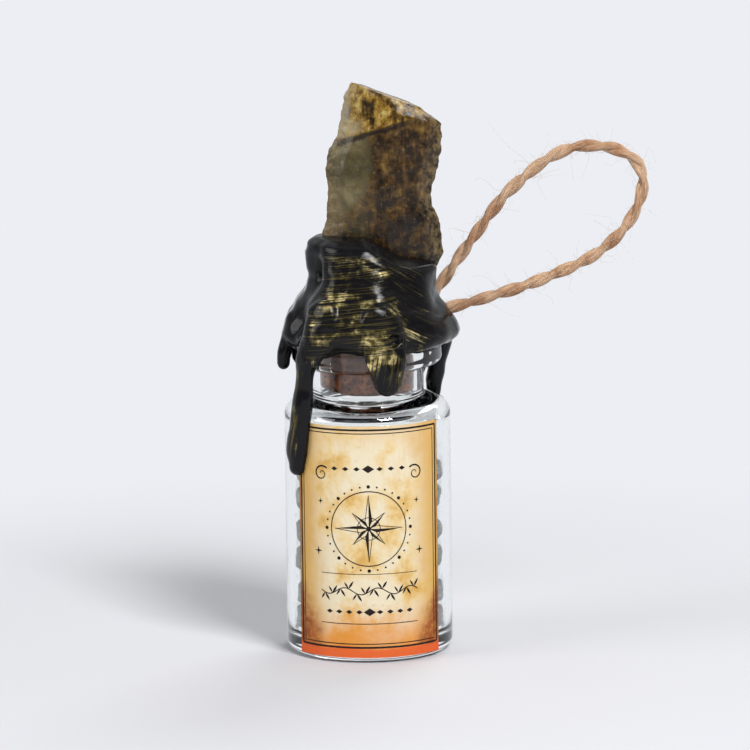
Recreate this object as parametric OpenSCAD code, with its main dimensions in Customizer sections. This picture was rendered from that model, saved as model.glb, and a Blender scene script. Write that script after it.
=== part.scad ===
// Corked glass vial of stone chips, sealed with dripping wax that holds a raw crystal slab and a twine loop.
// Millimetres, +Z up. The origin is the centre of the circle that the vial stands on, and -Y is the front.

/* [Glass vial] */
// Outer diameter of the vial's body
body_d = 22; // [20:0.5:26]
// Height of the glass, from the base to the top of the lip
vial_h = 41.7; // [38:0.1:50]
// Thickness of the glass wall
wall_t = 0.9; // [0.8:0.1:1.6]
// Thickness of the glass floor
floor_t = 2; // [1.5:0.1:3]
// Radius of the rounded heel between the base and the wall
heel_r = 1.4; // [0.6:0.1:2.5]
// Height of the hollow pushed up in the middle of the base
punt_h = 0.7; // [0.2:0.1:1.2]
// Distance from the top of the lip down to the shoulder
neck_drop = 8.2; // [7.6:0.1:10]
// Radius of the rounded shoulder
shoulder_r = 1.8; // [1:0.1:3]
// Outer diameter of the neck
neck_d = 15; // [14.5:0.1:16.5]
// Outer diameter of the lip
lip_d = 20; // [18.5:0.1:21]
// Thickness of the lip
lip_t = 3.3; // [2.5:0.1:4]
// Bore of the neck, which the cork plugs
mouth_d = 12.5; // [11:0.1:12.7]

/* [Cork stopper] */
// How far the cork goes down into the neck
cork_depth = 6.8; // [4:0.1:7.4]
// How far the cork stands above the lip, inside the wax
cork_stand = 1.2; // [0.5:0.1:2]

/* [Paper label] */
// Width of the label, measured round the glass
label_w = 20.9; // [12:0.1:30]
// Height of the label
label_h = 31.1; // [20:0.1:31.6]
// Height of the label's lower edge above the table
label_z = 0.7; // [0.5:0.1:4]
// Thickness of the paper
label_t = 0.13; // [0.08:0.01:0.3]

/* [Wax seal] */
// Height of the wax cap above the lip
wax_h = 13.9; // [12:0.1:16]
// How far the right side of the cap's top is lower than its left side
wax_slump = 2.9; // [1:0.1:4]

/* [Crystal slab] */
// Height of the crystal, from its foot in the wax to its highest corner
crystal_h = 26; // [22:0.5:32]
// Depth of the crystal's foot below the top of the wax cap
crystal_set = 5.8; // [4:0.1:7]
// Thickness of the slab at its middle
crystal_t = 5.2; // [4:0.1:7]

/* [Stone chips] */
// Width of a stone chip
chip_w = 4.5; // [3.6:0.1:5.5]
// Height of the heap of chips inside the vial
fill_h = 24.3; // [21:0.1:27]

/* [Twine loop] */
// Diameter of the twine
twine_d = 1.8; // [1.2:0.1:2.4]

/* [Clearances] */
// Play between the cork and the bore of the neck
cork_fit = 0.05; // [0.03:0.01:0.15]
// Play between the wax and what it was poured over
wax_fit = 0.03; // [0.02:0.01:0.1]
// Glue gap between the label and the glass
label_fit = 0.02; // [0.01:0.01:0.1]
// Play between neighbouring chips, and between the chips and the glass
chip_fit = 0.06; // [0.03:0.01:0.2]

/* [Hidden] */
LAYERS = ["stone_chips_1", "stone_chips_2", "stone_chips_3", "stone_chips_4", "stone_chips_5", "stone_chips_6"];
$fn = 96;

body_r = body_d / 2;
inner_r = body_r - wall_t;
neck_r = neck_d / 2;
lip_r = lip_d / 2;
mouth_r = mouth_d / 2;
shoulder_z = vial_h - neck_drop;
lip_z = vial_h - lip_t;
wax_top = vial_h + wax_h;
slab_z = wax_top - crystal_set;

// The neck's fillets and the rounded edges of the lip and the bore
neck_fillet = 0.7;
lip_edge = 1.1;
mouth_edge = 0.5;
// The neck's foot stands this much above the shoulder, because the shoulder slopes
shoulder_rise = 0.7;
// The shares of the body's radius that the pushed-up hollow takes
punt_share = 0.68;

// Chips of the heap: rings of them, one layer on another, each layer half a chip round from the last
layer_h = fill_h / len(LAYERS);
outer_ring_r = inner_r - chip_fit - chip_w / 2;
// The middle of a layer is filled by this many chips, as wide as the outer ring leaves room for
MIDDLE_CHIPS = 3;
middle_chip_w = (outer_ring_r - chip_w / 2 - chip_fit) * 2 / (1 + 1 / sin(180 / MIDDLE_CHIPS)) - chip_fit;
middle_ring_r = outer_ring_r - chip_w / 2 - chip_fit - middle_chip_w / 2;

// The cap's outline by height: share of wax_h, then how far it reaches past the lip's radius at the
// front, right, back and left
WAX_ROWS = [
    [-0.03, -0.5, 1.0, -0.3, 0.2],
    [0.02, 0.2, 1.9, 0.4, 1.0],
    [0.07, 0.7, 2.1, 0.8, 1.3],
    [0.14, 0.8, 1.7, 0.9, 1.0],
    [0.25, 0.3, 0.6, 0.4, 0.3],
    [0.37, -0.7, -0.6, -0.4, -0.7],
    [0.48, -1.7, -0.8, -1.2, -1.9],
    [0.60, -2.4, -0.7, -1.8, -2.4],
    [0.72, -2.7, -0.6, -2.2, -2.2],
    [0.84, -3.0, -0.4, -2.8, -2.0],
    [0.93, -3.8, -0.8, -3.8, -2.5],
    [0.98, -5.4, -2.4, -5.4, -3.6],
    [1.00, -7.5, -5.0, -7.5, -6.0]
];

// Swellings and dents of the cap: azimuth, height above the lip, half-width in degrees, half-height, amount
WAX_LOBES = [
    [-34, 4.5, 17, 5.0, 1.0],
    [12, 5.5, 16, 4.5, 0.8],
    [52, 6.5, 15, 4.0, 0.7],
    [96, 3.0, 18, 3.5, 0.5],
    [150, 4.5, 20, 5.0, 0.8],
    [-125, 5.0, 18, 4.5, 0.8],
    [-64, 2.6, 10, 2.2, -1.7],
    [-66, 9.5, 12, 3.0, -0.7],
    [32, 1.5, 8, 2.0, -0.7]
];

// Drips of the wax. Each point gives the azimuth from the front towards the right, the distance out past
// the body's radius, the height above the lip, and the half-width and half-depth there
DRIP_SIDE = [[-84, -1.5, 2.6, 1.5, 1.3], [-84, -0.65, 0.4, 1.2, 1.1], [-83.5, -0.2, -0.9, 1.0, 1.0],
    [-83, 0.05, -2.0, 0.9, 0.9], [-83, 0.1, -3.1, 0.95, 0.9]];
DRIP_LONG = [[-35, -1.4, 4.0, 2.5, 1.6], [-39, -0.5, 1.4, 2.3, 1.5], [-44.5, 0.0, -1.4, 1.8, 1.3],
    [-47, 0.1, -3.8, 1.4, 1.2], [-49, 0.3, -7.2, 1.6, 1.2], [-50.5, 0.6, -10.7, 1.65, 1.2],
    [-53, 0.7, -13.7, 1.85, 1.3], [-54, 0.5, -15.8, 1.3, 1.1]];
DRIP_TONGUE = [[11, -1.2, 3.4, 2.8, 1.3], [13, -0.6, 0.4, 2.9, 1.1], [14, -0.2, -2.1, 2.5, 1.0],
    [14.5, -0.2, -4.1, 1.9, 1.0]];
DRIP_RIGHT = [[98, -1.2, 2.4, 2.0, 1.4], [102, -0.6, -0.6, 1.4, 1.2], [106, -1.1, -3.6, 1.3, 1.2],
    [108, -1.5, -6.0, 1.4, 1.2], [110, -1.6, -7.3, 1.8, 0.9]];
DRIP_BACK_RIGHT = [[135, -1.2, 2.4, 2.2, 1.3], [135, -0.3, -0.6, 1.5, 1.1], [136, -0.7, -3.8, 1.3, 1.1],
    [137, -2.0, -6.4, 1.5, 1.1]];
DRIP_BACK = [[185, -1.2, 2.4, 2.4, 1.3], [186, -0.3, -0.6, 1.7, 1.1], [187, -0.1, -3.2, 1.2, 1.0],
    [187, -0.1, -4.8, 1.3, 1.0]];
DRIP_BACK_LEFT = [[-130, -1.0, 2.4, 2.2, 1.3], [-131, -0.2, -0.4, 1.4, 1.1], [-132, -0.1, -2.2, 1.2, 1.0]];
DRIPS = [DRIP_SIDE, DRIP_LONG, DRIP_TONGUE, DRIP_RIGHT, DRIP_BACK_RIGHT, DRIP_BACK, DRIP_BACK_LEFT];
// The small pocket left by a burst bubble above the tongue, given like a drip's point
BUBBLE = [20, 0.0, 1.5, 0.9, 0.9];

// The slab's outline by height: share of crystal_h, left and right edge, slope of that level towards
// the right, share of crystal_t, and how far the level's middle is pushed back
SLAB_ROWS = [
    [0.00, -4.6, 9.0, 0.00, 0.70, 0.2],
    [0.12, -5.4, 10.3, 0.00, 0.85, 0.1],
    [0.22, -5.8, 10.1, 0.00, 0.95, 0.0],
    [0.30, -5.2, 9.8, -0.01, 1.00, 0.1],
    [0.37, -5.0, 9.1, -0.02, 0.97, 0.2],
    [0.46, -5.0, 9.0, -0.05, 1.00, 0.1],
    [0.56, -5.2, 9.4, -0.08, 0.94, 0.0],
    [0.65, -4.7, 9.8, -0.12, 0.90, 0.1],
    [0.74, -3.6, 10.3, -0.17, 0.84, 0.2],
    [0.83, -3.1, 10.4, -0.22, 0.76, 0.1],
    [0.93, -2.8, 10.3, -0.30, 0.66, 0.0],
    [1.00, -1.8, 9.3, -0.38, 0.45, 0.0]
];
// The eight corners of each level: place from edge to edge, then depth as a share of the half-thickness
SLAB_RING = [[0.00, -0.15], [0.16, -0.80], [0.55, -1.00], [0.86, -0.70],
    [1.00, 0.10], [0.82, 0.85], [0.45, 1.00], [0.12, 0.65]];

// Points that the twine's middle follows, from its lower root in the wax round to its upper root
TWINE_ROUTE = [[8, 0.6, 44.8], [10.5, 0.8, 45.3], [13.5, 0.9, 46], [16.5, 0.8, 46.9], [19.5, 0.7, 47.8],
    [22.5, 0.7, 48.8], [25.5, 0.7, 50], [28.5, 0.8, 51.3], [31.2, 0.9, 52.9], [33.6, 1.1, 55],
    [35.4, 1.3, 57.4], [36.5, 1.5, 60], [36.7, 1.8, 62.6], [35.5, 2, 64.9], [33, 2.2, 66.2],
    [30, 2.4, 66.6], [27, 2.6, 66.2], [24, 2.8, 64.7], [21.2, 3, 62.5], [18.6, 3.1, 60.1],
    [16.4, 3.2, 57.3], [14.3, 3.3, 54.4], [12.2, 3.4, 51.4], [10.1, 3.5, 48.4], [7.8, 3.6, 45.2]];
TWINE_SIDES = 8;

// Points along an arc
function arc(cx, cy, r, from, to, steps = 6) =
    [for (i = [0:steps]) let (a = from + (to - from) * i / steps) [cx + r * cos(a), cy + r * sin(a)]];

// A place given by azimuth from the front, distance from the axis and height
function around(azimuth, r, z) = [r * sin(azimuth), -r * cos(azimuth), z];

// The difference between two azimuths, between -180 and 180 degrees
function turn_between(a, b) = (a - b + 540) % 360 - 180;

// A number between -1 and 1 that looks random and is the same each time
function scatter(i) = 2 * (sin(i * 127.1 + 31.7) * 437.585 - floor(sin(i * 127.1 + 31.7) * 437.585)) - 1;

// Faces of a closed tube of rings with n points each
function tube_faces(rings, n) = concat(
    [[for (j = [0:n - 1]) n - 1 - j]],
    [for (i = [0:rings - 2]) for (j = [0:n - 1])
        let (a = i * n + j, b = i * n + (j + 1) % n) [a, b, b + n, a + n]],
    [[for (j = [0:n - 1]) (rings - 1) * n + j]]);

// The same faces seen from the other side, for rings that run the other way
function turned(faces) = [for (f = faces) [for (k = [len(f) - 1:-1:0]) f[k]]];

// The glass's half section, swept round the axis
function glass_outside() = concat(
    [[0, punt_h], [body_r * punt_share / 2, punt_h * 0.8], [body_r * punt_share, 0]],
    arc(body_r - heel_r, heel_r, heel_r, -90, 0),
    arc(body_r - shoulder_r, shoulder_z - shoulder_r, shoulder_r, 0, 80),
    arc(neck_r + neck_fillet, shoulder_z + shoulder_rise + neck_fillet, neck_fillet, 260, 180, 4),
    arc(neck_r + neck_fillet, lip_z - neck_fillet, neck_fillet, 180, 90, 4),
    arc(lip_r - lip_edge, lip_z + lip_edge, lip_edge, -90, 0),
    arc(lip_r - lip_edge, vial_h - lip_edge, lip_edge, 0, 90));

function glass_inside() = concat(
    arc(mouth_r + mouth_edge, vial_h - mouth_edge, mouth_edge, 90, 180, 4),
    arc(mouth_r + mouth_edge, shoulder_z - wall_t + mouth_edge, mouth_edge, 180, 270, 4),
    arc(inner_r - shoulder_r, shoulder_z - wall_t - shoulder_r, shoulder_r, 90, 0),
    arc(inner_r - heel_r, floor_t + heel_r, heel_r, 0, -90),
    [[0, floor_t]]);

module glass_vial()
    color([0.86, 0.92, 0.91, 0.45])
        rotate_extrude() polygon(concat(glass_outside(), glass_inside()));

// The space that the glass fills with its bore closed, grown by gap, for cutting what lies against it
module glass_form(gap)
    rotate_extrude() polygon(concat(
        [[0, -gap]],
        arc(body_r - heel_r, heel_r, heel_r + gap, -90, 0),
        arc(body_r - shoulder_r, shoulder_z - shoulder_r, shoulder_r + gap, 0, 80),
        arc(neck_r + neck_fillet, shoulder_z + shoulder_rise + neck_fillet, neck_fillet - gap, 260, 180, 4),
        arc(neck_r + neck_fillet, lip_z - neck_fillet, neck_fillet - gap, 180, 90, 4),
        arc(lip_r - lip_edge, lip_z + lip_edge, lip_edge + gap, -90, 0),
        arc(lip_r - lip_edge, vial_h - lip_edge, lip_edge + gap, 0, 90),
        [[0, vial_h + gap]]));

// The cork, with its ends chamfered and the broken corner that shows below the wax
module cork_stopper() {
    cork_r = mouth_r - cork_fit;
    chamfer = 0.35;
    foot = vial_h - cork_depth;
    head = vial_h + cork_stand;
    color([0.55, 0.31, 0.22])
        difference() {
            rotate_extrude() polygon([[0, foot], [cork_r - chamfer, foot], [cork_r, foot + chamfer],
                [cork_r, head - chamfer], [cork_r - chamfer, head], [0, head]]);
            for (chip = [[-52, 1.3, 0], [-74, 1.0, 0.5], [28, 0.7, -0.2], [140, 0.9, 0.1], [205, 0.8, 0]])
                translate(around(chip[0], cork_r + 0.2, foot + chip[2])) sphere(chip[1]);
        }
}

// The label, a sheet bent round the glass
module label_sheet(gap = 0) {
    span = label_w / body_r * 180 / PI;
    color([0.93, 0.82, 0.58])
        rotate([0, 0, -90 - span / 2])
            rotate_extrude(angle = span)
                translate([body_r + label_fit - gap, label_z - gap])
                    square([label_t + 2 * gap, label_h + 2 * gap]);
}

module paper_label() label_sheet();

// How far the cap's top is lowered at x by the slump, as a share of wax_slump
function slump_at(x) = let (t = min(1, max(0, (x + 1) / 7))) t * t * (3 - 2 * t);

// The reach of row i of WAX_ROWS at an azimuth, blended between the four sides
function row_reach(row, azimuth) = let (c = cos(azimuth), s = sin(azimuth))
    (c > 0 ? row[1] : row[3]) * c * c + (s > 0 ? row[2] : row[4]) * s * s;

// The swell that all lobes give at an azimuth and a height above the lip
function lobe_swell(azimuth, h, i = 0) = i == len(WAX_LOBES) ? 0 :
    let (l = WAX_LOBES[i], u = turn_between(azimuth, l[0]) / l[2], v = (h - l[1]) / l[3])
    l[4] * exp(-u * u - v * v) + lobe_swell(azimuth, h, i + 1);

function wax_point(row, azimuth) =
    let (h = row[0] * wax_h,
        r = max(0.5, lip_r + row_reach(row, azimuth) + lobe_swell(azimuth, h)),
        p = around(azimuth, r, vial_h + h),
        upper = min(1, max(0, (row[0] - 0.45) / 0.5)))
    [p[0], p[1], p[2] - wax_slump * upper * slump_at(p[0])];

function middle_row(a, b) = (a + b) / 2;

// The poured cap as one closed surface of rings
module wax_cap(steps = 54) {
    rows = [for (i = [0:2 * len(WAX_ROWS) - 2]) i % 2 == 0 ? WAX_ROWS[i / 2]
        : middle_row(WAX_ROWS[(i - 1) / 2], WAX_ROWS[(i + 1) / 2])];
    points = [for (row = rows) for (j = [0:steps - 1]) wax_point(row, j * 360 / steps)];
    polyhedron(points, turned(tube_faces(len(rows), steps)));
}

module drip_bead(p)
    rotate([0, 0, p[0]]) translate([0, -body_r - p[1], vial_h + p[2]]) scale([p[3], p[4], p[3]])
        sphere(1, $fn = 12);

// A run of wax: each two beads that follow one another are joined by their hull
module drip(points)
    for (i = [0:len(points) - 2])
        hull() {
            drip_bead(points[i]);
            drip_bead(points[i + 1]);
        }

module wax_seal()
    color([0.06, 0.06, 0.06])
        difference() {
            union() {
                wax_cap();
                for (points = DRIPS) drip(points);
            }
            glass_form(wax_fit);
            cylinder(r = mouth_r - cork_fit + wax_fit, h = vial_h + cork_stand + wax_fit);
            label_sheet(wax_fit);
            drip_bead(BUBBLE);
            slab(wax_fit);
            twine(twine_d / 2 + wax_fit);
        }

// The slab: a loft through its levels, each with the same eight corners set by the level's edges
module slab(gap = 0) {
    points = [for (i = [0:len(SLAB_ROWS) - 1]) for (j = [0:len(SLAB_RING) - 1])
        let (row = SLAB_ROWS[i], corner = SLAB_RING[j],
            x = row[1] - gap + (row[2] - row[1] + 2 * gap) * corner[0],
            half = crystal_t / 2 * row[4] + gap,
            y = row[5] + corner[1] * half * (1 + 0.08 * scatter(i * 8 + j)),
            z = slab_z + crystal_h * row[0] + row[3] * (x - row[1]) + (i == 0 ? -gap : 0))
        [x, y, z]];
    color([0.42, 0.33, 0.17])
        polyhedron(points, turned(tube_faces(len(SLAB_ROWS), len(SLAB_RING))));
}

module crystal_slab() slab();

function unit(v) = v / norm(v);

// The way that the twine runs at point i of its route
function heading(i) = let (n = len(TWINE_ROUTE) - 1)
    unit(TWINE_ROUTE[min(n, i + 1)] - TWINE_ROUTE[max(0, i - 1)]);

// The twine as a tube of the given radius, with flat ends
module twine(radius) {
    points = [for (i = [0:len(TWINE_ROUTE) - 1])
        let (t = heading(i), side = unit(cross(t, [0, 1, 0])), up = cross(side, t))
        for (j = [0:TWINE_SIDES - 1]) let (a = j * 360 / TWINE_SIDES)
            TWINE_ROUTE[i] + radius * (cos(a) * side + sin(a) * up)];
    color([0.75, 0.58, 0.40])
        polyhedron(points, tube_faces(len(TWINE_ROUTE), TWINE_SIDES));
}

module twine_loop() twine(twine_d / 2);

// A chip: a lump with twelve corners, each pushed in by a different amount
GOLDEN = (1 + sqrt(5)) / 2;
LUMP_REACH = sqrt(1 + GOLDEN * GOLDEN);
LUMP_CORNERS = [for (s = [-1, 1]) for (t = [-1, 1]) for (p = [[0, s, t * GOLDEN], [s, t * GOLDEN, 0],
    [t * GOLDEN, 0, s]]) p / LUMP_REACH];
module chip(seed, w, h) {
    corners = [for (k = [0:11]) let (c = LUMP_CORNERS[k], push = 0.95 + 0.05 * scatter(seed * 12 + k))
        [c[0] * w / 2, c[1] * w / 2, c[2] * h / 2 * LUMP_REACH / GOLDEN] * push];
    hull() polyhedron(corners, [for (k = [0:9]) [k, k + 1, k + 2]]);
}

// One layer of the heap: a ring of chips against the glass, and the chips in the middle
module stone_layer(k) {
    z = floor_t + chip_fit + layer_h * (k + 0.5);
    outer = floor(180 / asin((chip_w + chip_fit) / 2 / outer_ring_r));
    step = 360 / outer;
    color([0.55, 0.58, 0.53]) {
        for (i = [0:outer - 1])
            rotate((i + k / 2) * step) translate([outer_ring_r, 0, z])
                chip(k * 40 + i, chip_w, layer_h - chip_fit);
        for (i = [0:MIDDLE_CHIPS - 1])
            rotate((i + k / 2) * 360 / MIDDLE_CHIPS) translate([middle_ring_r, 0, z])
                chip(k * 40 + outer + i, middle_chip_w, layer_h - chip_fit);
    }
}

glass_vial();
cork_stopper();
paper_label();
wax_seal();
crystal_slab();
twine_loop();
for (k = [0:len(LAYERS) - 1]) stone_layer(k);
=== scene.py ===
"""Dresses the corked glass vial: blown glass, poured wax brushed with gold, a raw crystal, jute twine, an aged
paper label and stone chips. Lengths in the tables are millimetres, and MM turns them into metres."""

import math

import bpy
import numpy as np
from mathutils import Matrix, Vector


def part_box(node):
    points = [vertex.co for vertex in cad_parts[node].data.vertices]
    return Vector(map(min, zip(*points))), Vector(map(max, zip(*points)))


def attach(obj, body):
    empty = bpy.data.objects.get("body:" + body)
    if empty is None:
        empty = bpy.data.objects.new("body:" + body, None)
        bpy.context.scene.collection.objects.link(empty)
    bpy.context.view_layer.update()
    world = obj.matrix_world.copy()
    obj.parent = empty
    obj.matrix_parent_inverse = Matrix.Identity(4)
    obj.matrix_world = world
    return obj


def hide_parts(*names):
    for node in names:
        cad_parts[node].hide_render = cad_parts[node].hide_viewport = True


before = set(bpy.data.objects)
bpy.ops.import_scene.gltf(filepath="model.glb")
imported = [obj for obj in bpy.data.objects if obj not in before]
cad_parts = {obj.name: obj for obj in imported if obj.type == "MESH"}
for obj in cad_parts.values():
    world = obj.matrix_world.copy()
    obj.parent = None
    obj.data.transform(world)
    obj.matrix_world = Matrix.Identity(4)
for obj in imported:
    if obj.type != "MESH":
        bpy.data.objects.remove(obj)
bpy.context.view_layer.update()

MM = 0.001

# Camera: the photograph is 750 pixels square, and shows 7.55 pixels to the millimetre at the vial's axis
FRAME_PX = 750
PX_PER_MM = 7.55
CAMERA_DISTANCE = 1.0
CAMERA_ELEVATION = 10.6
CAMERA_ROLL = -0.7
CAMERA_TARGET = (1.07 * MM, 0.0, 36.6 * MM)
SENSOR_MM = 36.0


def place_camera():
    """A far camera in front of the label, looking down a little, rolled by the photograph's small tilt."""
    data = bpy.data.cameras.new("camera")
    camera = bpy.data.objects.new("camera", data)
    bpy.context.scene.collection.objects.link(camera)
    lift = math.radians(CAMERA_ELEVATION)
    camera.location = (
        CAMERA_TARGET[0],
        CAMERA_TARGET[1] - CAMERA_DISTANCE * math.cos(lift),
        CAMERA_TARGET[2] + CAMERA_DISTANCE * math.sin(lift),
    )
    camera.rotation_mode = "XYZ"
    camera.rotation_euler = (math.pi / 2 - lift, 0, 0)
    camera.rotation_euler.rotate_axis("Z", math.radians(CAMERA_ROLL))
    data.sensor_width = SENSOR_MM
    data.lens = SENSOR_MM * CAMERA_DISTANCE / (FRAME_PX / PX_PER_MM * MM)
    data.clip_start = 0.01
    data.clip_end = 10
    bpy.context.scene.camera = camera


place_camera()


# Arrays and meshes


def lattice(cells, seed):
    """A number from 0 to 1 for each lattice cell: the fraction of a large sine of the cell's three indices."""
    mixed = cells[..., 0] * 12.9898 + cells[..., 1] * 78.233 + cells[..., 2] * 37.719 + seed * 5.317
    value = np.sin(mixed) * 43758.5453
    return value - np.floor(value)


def noise(points, size, seed=0):
    """Smooth noise from -1 to 1: lattice values blended by the cubic step along each axis. size is one cell."""
    scaled = np.asarray(points) / size
    cell = np.floor(scaled)
    part = scaled - cell
    part = part * part * (3 - 2 * part)
    total = 0
    for corner in range(8):
        step = np.array([corner & 1, corner >> 1 & 1, corner >> 2 & 1])
        weight = np.prod(np.where(step == 1, part, 1 - part), axis=-1)
        total = total + weight * lattice(cell + step, seed)
    return 2 * total - 1


def rough(points, size, octaves, seed=0):
    """Noise summed over octaves, each half the size and half the strength of the one before."""
    return sum(noise(points, size / 2**k, seed + k) / 2**k for k in range(octaves))


def smooth_step(value, low, high):
    """0 below low, 1 above high, and the cubic step between."""
    t = np.clip((value - low) / (high - low), 0, 1)
    return t * t * (3 - 2 * t)


def mesh_object(name, points, faces, smooth=True):
    """An object from an array of points in millimetres and its faces, as an array or as lists of any lengths."""
    mesh = bpy.data.meshes.new(name)
    places = np.asarray(points, dtype=float).reshape(-1, 3) * MM
    mesh.from_pydata(places.tolist(), [], faces.tolist() if isinstance(faces, np.ndarray) else faces)
    mesh.polygons.foreach_set("use_smooth", [smooth] * len(mesh.polygons))
    mesh.update()
    made = bpy.data.objects.new(name, mesh)
    bpy.context.scene.collection.objects.link(made)
    return made


def grid_faces(rows, columns, wrap=True):
    """Quads between neighbouring rows and columns of a grid; wrap joins its last column to its first."""
    i, j = np.meshgrid(np.arange(rows - 1), np.arange(columns if wrap else columns - 1), indexing="ij")
    beside = (j + 1) % columns
    quads = [i * columns + j, i * columns + beside, (i + 1) * columns + beside, (i + 1) * columns + j]
    return np.stack(quads, axis=-1).reshape(-1, 4)


def closed_faces(rows, columns, flip=False):
    """The quads of a tube of points and a face over each end; flip turns them all round."""
    first = list(range(columns))[::-1]
    last = [(rows - 1) * columns + j for j in range(columns)]
    faces = grid_faces(rows, columns).tolist() + [first, last]
    return [face[::-1] for face in faces] if flip else faces


def join_faces(parts):
    """The points and faces of several meshes as those of one."""
    points = []
    faces = []
    start = 0
    for part_points, part_faces in parts:
        points.append(part_points)
        faces.extend([[i + start for i in face] for face in part_faces])
        start += len(part_points)
    return np.concatenate(points), faces


def mesh_points(thing):
    """The mesh's points in millimetres."""
    flat = np.empty(len(thing.data.vertices) * 3)
    thing.data.vertices.foreach_get("co", flat)
    return flat.reshape(-1, 3) / MM


def mesh_normals(thing):
    """The mesh's outward direction at each point."""
    flat = np.empty(len(thing.data.vertices) * 3)
    thing.data.vertices.foreach_get("normal", flat)
    return flat.reshape(-1, 3)


def set_points(thing, points):
    """Moves the mesh's points to places in millimetres."""
    thing.data.vertices.foreach_set("co", (points * MM).ravel())
    thing.data.update()


def set_values(thing, name, values):
    """Stores one number for each point of the mesh, which a material reads as an attribute."""
    layer = thing.data.attributes.new(name, "FLOAT", "POINT")
    layer.data.foreach_set("value", np.asarray(values, dtype=np.float32).ravel())


def set_uv(thing, per_point):
    """Gives every corner of the mesh the UV of its point."""
    corners = np.empty(len(thing.data.loops), dtype=int)
    thing.data.loops.foreach_get("vertex_index", corners)
    layer = thing.data.uv_layers.new(name="UVMap")
    layer.data.foreach_set("uv", np.asarray(per_point)[corners].ravel())


def apply_modifiers(thing):
    """Replaces the mesh by what its modifiers make of it."""
    bpy.context.view_layer.update()
    evaluated = thing.evaluated_get(bpy.context.evaluated_depsgraph_get())
    mesh = bpy.data.meshes.new_from_object(evaluated)
    thing.modifiers.clear()
    thing.data = mesh


def remesh(thing, voxel):
    """Fuses the mesh's overlapping shells into one skin of even quads, voxel millimetres apart."""
    change = thing.modifiers.new("remesh", "REMESH")
    change.mode = "VOXEL"
    change.voxel_size = voxel * MM
    change.use_smooth_shade = True
    apply_modifiers(thing)
    thing.data.polygons.foreach_set("use_smooth", [True] * len(thing.data.polygons))


def relax(thing, amount, times):
    """Moves each point towards its neighbours' middle."""
    change = thing.modifiers.new("relax", "SMOOTH")
    change.factor = amount
    change.iterations = times
    apply_modifiers(thing)


def curve_through(points, count):
    """count points evenly spaced along a Catmull-Rom curve through the given points."""
    p = np.asarray(points, dtype=float)
    p = np.concatenate([[2 * p[0] - p[1]], p, [2 * p[-1] - p[-2]]])
    t = np.linspace(0, 1, 24, endpoint=False)[:, None]
    parts = []
    for a, b, c, d in zip(p[:-3], p[1:-2], p[2:-1], p[3:]):
        square = 2 * a - 5 * b + 4 * c - d
        cube = 3 * b - a - 3 * c + d
        parts.append(0.5 * (2 * b + (c - a) * t + square * t**2 + cube * t**3))
    fine = np.concatenate(parts + [p[-2][None]])
    along = np.concatenate([[0], np.cumsum(np.linalg.norm(np.diff(fine[:, :3], axis=0), axis=1))])
    want = np.linspace(0, along[-1], count)
    return np.stack([np.interp(want, along, fine[:, k]) for k in range(fine.shape[1])], axis=1)


def unit(v):
    """Each vector divided by its length."""
    return v / np.maximum(np.linalg.norm(v, axis=-1, keepdims=True), 1e-9)


def turn_of(points):
    """Each point's azimuth in radians: 0 in front, at the label's middle, and growing towards the right."""
    return np.arctan2(points[..., 0], -points[..., 1])


def reach_of(points):
    """Each point's distance from the vial's axis."""
    return np.hypot(points[..., 0], points[..., 1])


def squeezed(points, scale):
    """The points moved straight towards or away from the axis, each to scale times its distance."""
    return points * np.stack([scale, scale, np.ones_like(scale)], axis=-1)


# Materials


class Nodes:
    """A node tree, with short methods for the nodes that both the world and the finishes use."""

    def __init__(self, tree):
        self.tree = tree

    def node(self, kind, inputs=(), **settings):
        """A new node with its settings, and its inputs, by name or number, linked or set."""
        made = self.tree.nodes.new(kind)
        for key, value in settings.items():
            setattr(made, key, value)
        for key, value in dict(inputs).items():
            self.feed(made.inputs[key], value)
        return made

    def feed(self, socket, value):
        """Links a socket to the output it is given, or sets it to a number, vector or colour."""
        if isinstance(value, bpy.types.NodeSocket):
            self.tree.links.new(value, socket)
        else:
            socket.default_value = value

    def split(self, vector):
        """The vector's three numbers."""
        return list(self.node("ShaderNodeSeparateXYZ", {0: vector}).outputs)

    def math(self, operation, first, second=0.0, third=0.0, clamp=False):
        """One step of arithmetic on up to three numbers."""
        inputs = {0: first, 1: second, 2: third}
        return self.node("ShaderNodeMath", inputs, operation=operation, use_clamp=clamp).outputs["Value"]

    def both(self, first, second):
        """The product of two masks."""
        return self.math("MULTIPLY", first, second)

    def sum(self, first, second):
        """The sum of two numbers."""
        return self.math("ADD", first, second)

    def line(self, value, slope, start):
        """The value times slope, plus start."""
        return self.math("MULTIPLY_ADD", value, slope, start)

    def step(self, value, low, high, bottom=0.0, top=1.0):
        """bottom at low, top at high, and the smooth step between; low may be the larger."""
        rising = low < high
        return self.node("ShaderNodeMapRange", {
            "Value": value,
            "From Min": min(low, high),
            "From Max": max(low, high),
            "To Min": bottom if rising else top,
            "To Max": top if rising else bottom,
        }, interpolation_type="SMOOTHSTEP").outputs["Result"]


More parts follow.
